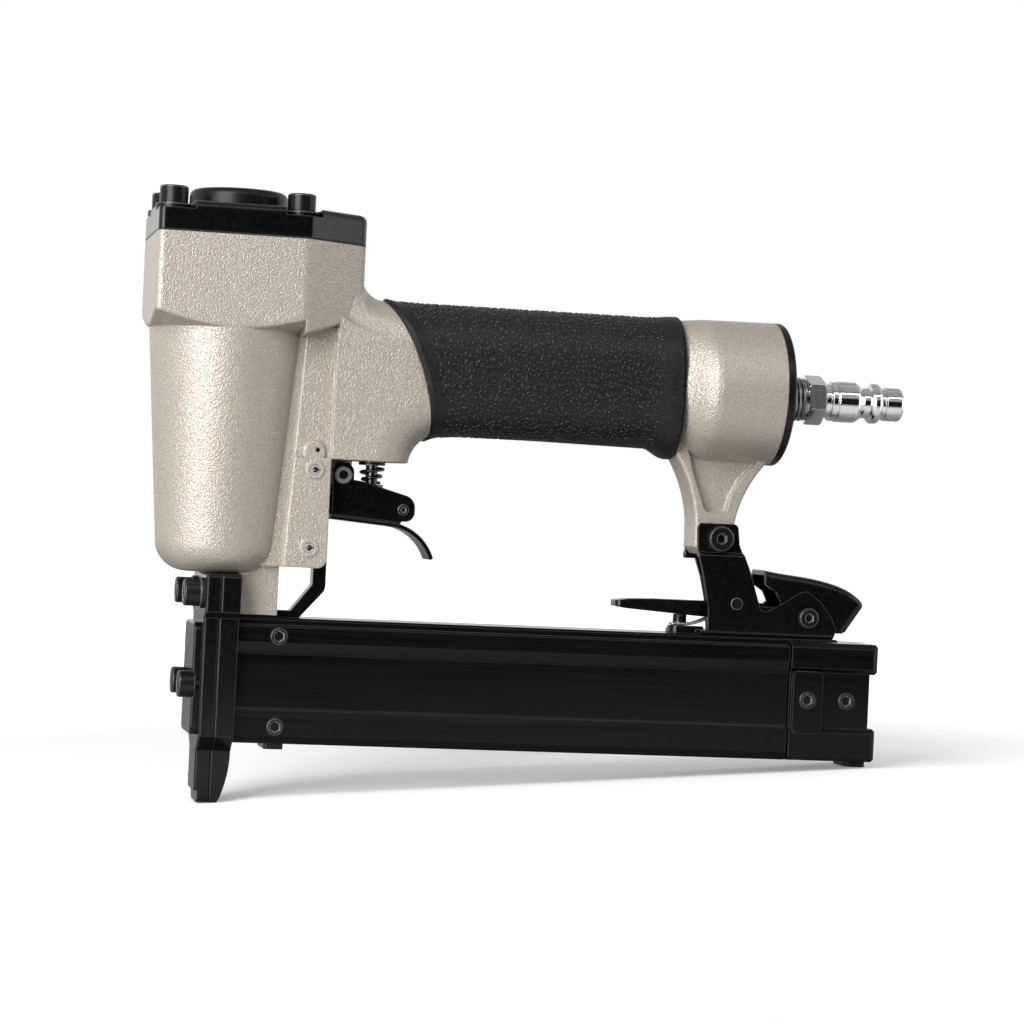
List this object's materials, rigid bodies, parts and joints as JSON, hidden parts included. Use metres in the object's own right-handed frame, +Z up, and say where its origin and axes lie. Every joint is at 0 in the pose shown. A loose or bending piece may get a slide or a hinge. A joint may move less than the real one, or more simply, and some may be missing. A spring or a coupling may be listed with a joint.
{
  "type": "air nailer",
  "caption": "Compressed-air nailer: tapered barrel with a black cap, rubber handle with an air plug, trigger with a spring, slim nose and a long latched magazine below.",
  "frame": {"origin": "nose tip, on the driver axis", "axes": "+X back along the handle to the air plug, +Y across the tool, +Z up along the driver, away from the work"},
  "size_m": [0.2446, 0.0486, 0.1888],
  "materials": {
    "casting_paint": "cast, with a fine hammered metallic paint",
    "cap_paint": "die-cast, satin black paint",
    "black_paint": "satin black",
    "black_plastic": "satin black",
    "black_oxide_steel": "black oxide",
    "bright_steel": "plain bright",
    "spring_steel": "drawn wire",
    "black_anodised": "black anodised",
    "grip_rubber": "moulded, textured",
    "seal_rubber": "plain",
    "machined_alloy": "machined",
    "plug_chrome": "polished plating"
  },
  "bodies": {
    "tool_body": {"body_casting": "casting_paint", "cap_plate": "cap_paint", "nose_front_plate": "black_paint", "nose_rear_plate": "black_paint", "nose_cover_plate": "black_paint", "stay_strap": "black_paint", "latch_bracket": "black_paint", "magazine_stop_block": "black_paint", "end_cap": "black_plastic", "cap_screws": "black_oxide_steel", "cap_washers": "black_oxide_steel", "deflector_screw": "black_oxide_steel", "nose_screws": "black_oxide_steel", "nose_mount_screws": "black_oxide_steel", "nose_washers": "black_oxide_steel", "magazine_screws": "black_oxide_steel", "bracket_screws": "black_oxide_steel", "leg_bolt": "black_oxide_steel", "leg_nut": "black_oxide_steel", "latch_pivot_screw": "black_oxide_steel", "latch_stop_studs": "black_oxide_steel", "trigger_pivot_pin": "black_oxide_steel", "valve_bush": "black_oxide_steel", "roll_pins": "bright_steel", "latch_spring": "bright_steel", "trigger_spring": "spring_steel", "head_valve_spring": "spring_steel", "magazine_housing": "black_anodised", "grip_sleeve": "grip_rubber", "bumper": "seal_rubber", "end_cap_seal": "seal_rubber", "liner_gasket": "seal_rubber", "cap_gasket": "seal_rubber", "cylinder_liner": "machined_alloy", "air_plug": "plug_chrome"},
    "deflector": {"exhaust_deflector": "black_plastic"},
    "piston": {"piston": "machined_alloy", "piston_ring": "seal_rubber", "driver_blade": "bright_steel", "driver_pin": "bright_steel"},
    "head_valve": {"head_valve": "machined_alloy", "head_valve_seal": "seal_rubber", "head_valve_ring": "seal_rubber"},
    "valve_stem": {"valve_stem": "bright_steel", "valve_stem_ring": "seal_rubber"},
    "trigger": {"trigger": "black_paint", "trigger_contact_plate": "black_paint", "trigger_cross_pin": "black_oxide_steel"},
    "magazine_slide": {"magazine_rail": "bright_steel", "magazine_end_cover": "black_anodised", "end_cover_screws": "black_oxide_steel", "rear_foot": "grip_rubber", "pusher_rod": "bright_steel", "pusher_spring": "spring_steel"},
    "pusher": {"pusher": "bright_steel"},
    "latch": {"latch_lever": "black_paint"}
  },
  "joints": [
    {"name": "deflector_turn", "type": "hinge", "parent": "tool_body", "child": "deflector", "pos_m": [0.0017, 0, 0.1855], "axis": [0, 0, 1], "continuous": true},
    {"name": "piston_stroke", "type": "slide", "parent": "tool_body", "child": "piston", "axis": [0, 0, -1], "range_m": [0, 0.054]},
    {"name": "head_valve_lift", "type": "slide", "parent": "tool_body", "child": "head_valve", "axis": [0, 0, 1], "range_m": [0, 0.003], "stiffness_N_per_m": 500, "springref_m": -0.004, "deforming": ["head_valve_spring"]},
    {"name": "trigger_pull", "type": "hinge", "parent": "tool_body", "child": "trigger", "pos_m": [0.0372, 0, 0.1027], "axis": [0, -1, 0], "range_deg": [0, 11], "stiffness_Nm_per_rad": 0.35, "springref_deg": -2.86},
    {"name": "valve_stem_lift", "type": "slide", "parent": "tool_body", "child": "valve_stem", "axis": [0, 0, 1], "range_m": [0, 0.00194], "deforming": ["trigger_spring"]},
    {"name": "magazine_pull", "type": "slide", "parent": "tool_body", "child": "magazine_slide", "axis": [1, 0, 0], "range_m": [0, 0.13]},
    {"name": "pusher_travel", "type": "slide", "parent": "magazine_slide", "child": "pusher", "axis": [1, 0, 0], "range_m": [0, 0.11], "stiffness_N_per_m": 20, "springref_m": -0.1, "deforming": ["pusher_spring"]},
    {"name": "latch_press", "type": "hinge", "parent": "tool_body", "child": "latch", "pos_m": [0.1887, 0, 0.0643], "axis": [0, -1, 0], "range_deg": [0, 4], "stiffness_Nm_per_rad": 0.5, "springref_deg": -2.86, "deforming": ["latch_spring"]}
  ],
  "couplings": [
    {"joint": "trigger_pull", "follows": "valve_stem_lift", "rad_per_m": 99.01}
  ]
}
